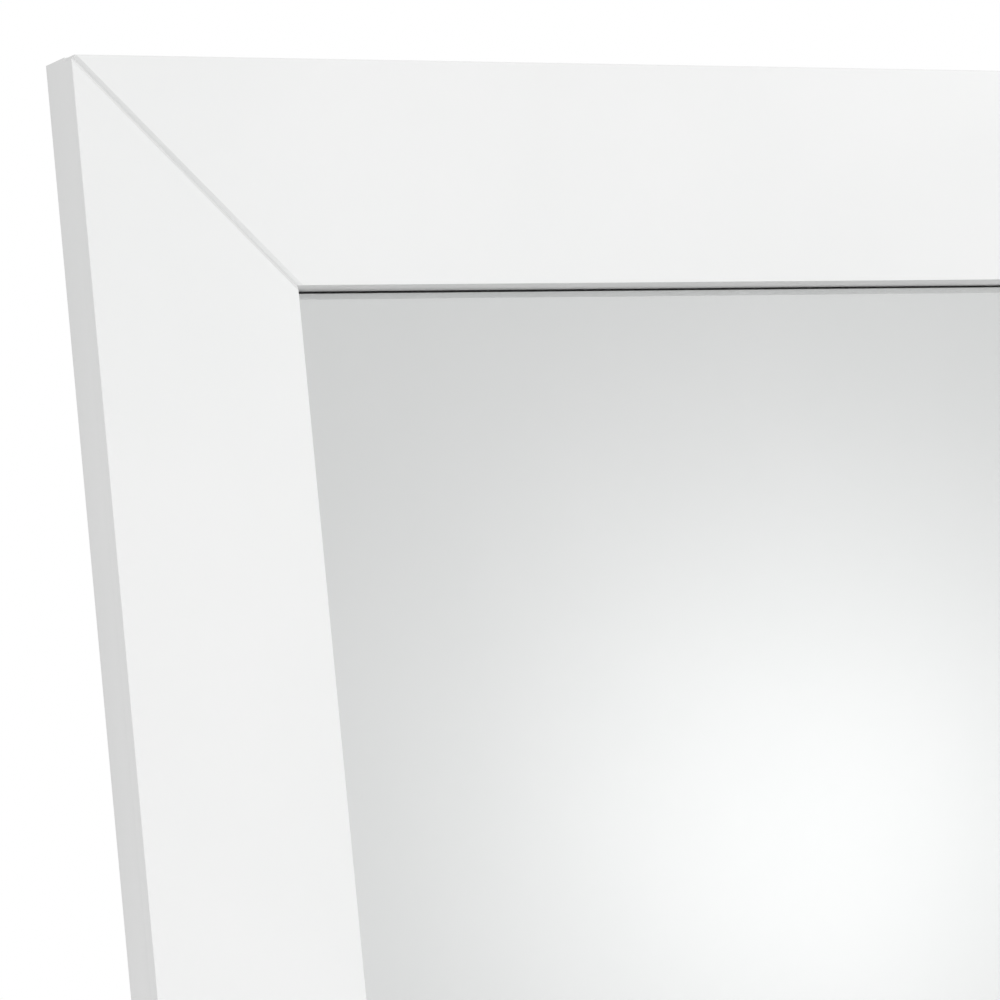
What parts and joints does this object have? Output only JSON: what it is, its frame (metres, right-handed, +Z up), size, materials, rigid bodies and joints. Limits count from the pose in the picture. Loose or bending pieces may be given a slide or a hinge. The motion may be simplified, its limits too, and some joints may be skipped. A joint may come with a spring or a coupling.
{
  "type": "cheval floor mirror",
  "caption": "Free-standing tilting floor mirror: a flat mitred white frame hung between two posts on trestle feet, held at its angle by clamp knobs.",
  "frame": {"origin": "on the floor, midway between the two feet, under the tilt axis", "axes": "+Z up; the glass faces -Y; +X runs to the right of someone facing the glass; stored with the frame leaning back"},
  "size_m": [0.742, 0.48, 1.6593],
  "materials": {
    "white_paint": "satin",
    "beech": "matte",
    "hardboard": "matte",
    "clear_glass": "polished",
    "silvering": "polished",
    "black_tape": "matte",
    "rubber_block": "matte",
    "foam": "matte",
    "nylon": "matte",
    "felt_grey_plastic": "matte",
    "cap_plastic": "satin",
    "zinc_steel": "satin",
    "satin_nickel": "satin",
    "brass_fitting": "satin"
  },
  "bodies": {
    "stand": {"left_post": "white_paint", "right_post": "white_paint", "left_foot": "white_paint", "right_foot": "white_paint", "stretcher": "white_paint", "stretcher_bolts": "zinc_steel", "barrel_nuts": "zinc_steel", "bolt_caps": "cap_plastic", "foot_bolts": "zinc_steel", "post_inserts": "brass_fitting", "glides": "felt_grey_plastic", "glide_screws": "zinc_steel", "left_pivot_bush": "brass_fitting", "right_pivot_bush": "brass_fitting"},
    "mirror_frame": {"top_rail": "white_paint", "bottom_rail": "white_paint", "left_stile": "white_paint", "right_stile": "white_paint", "mitre_biscuits": "beech", "corner_plates": "zinc_steel", "corner_plate_screws": "zinc_steel", "glazing_tape": "black_tape", "setting_blocks": "rubber_block", "mirror_glass": "clear_glass", "mirror_silvering": "silvering", "foam_liner": "foam", "back_panel": "hardboard", "back_panel_screws": "zinc_steel", "left_insert": "brass_fitting", "right_insert": "brass_fitting", "left_friction_washer": "nylon", "right_friction_washer": "nylon"},
    "left_washer": {"left_clamp_washer": "zinc_steel"},
    "right_washer": {"right_clamp_washer": "zinc_steel"},
    "left_clamp": {"left_knob": "satin_nickel", "left_knob_stud": "zinc_steel"},
    "right_clamp": {"right_knob": "satin_nickel", "right_knob_stud": "zinc_steel"}
  },
  "joints": [
    {"name": "mirror_tilt", "type": "hinge", "parent": "stand", "child": "mirror_frame", "pos_m": [0, 0, 0.94], "axis": [1, 0, 0], "range_deg": [-24.3, 45.7]},
    {"name": "left_knob_travel", "type": "slide", "parent": "stand", "child": "left_washer", "axis": [-1, 0, 0], "range_m": [0, 0.0014]},
    {"name": "left_knob_turn", "type": "hinge", "parent": "left_washer", "child": "left_clamp", "pos_m": [-0.344, 0, 0.94], "axis": [-1, 0, 0], "range_deg": [0, 360]},
    {"name": "right_knob_travel", "type": "slide", "parent": "stand", "child": "right_washer", "axis": [1, 0, 0], "range_m": [0, 0.0014]},
    {"name": "right_knob_turn", "type": "hinge", "parent": "right_washer", "child": "right_clamp", "pos_m": [0.344, 0, 0.94], "axis": [1, 0, 0], "range_deg": [0, 360]}
  ],
  "couplings": [
    {"joint": "left_knob_travel", "follows": "left_knob_turn", "m_per_rad": 0.00019894},
    {"joint": "right_knob_travel", "follows": "right_knob_turn", "m_per_rad": 0.00019894}
  ]
}
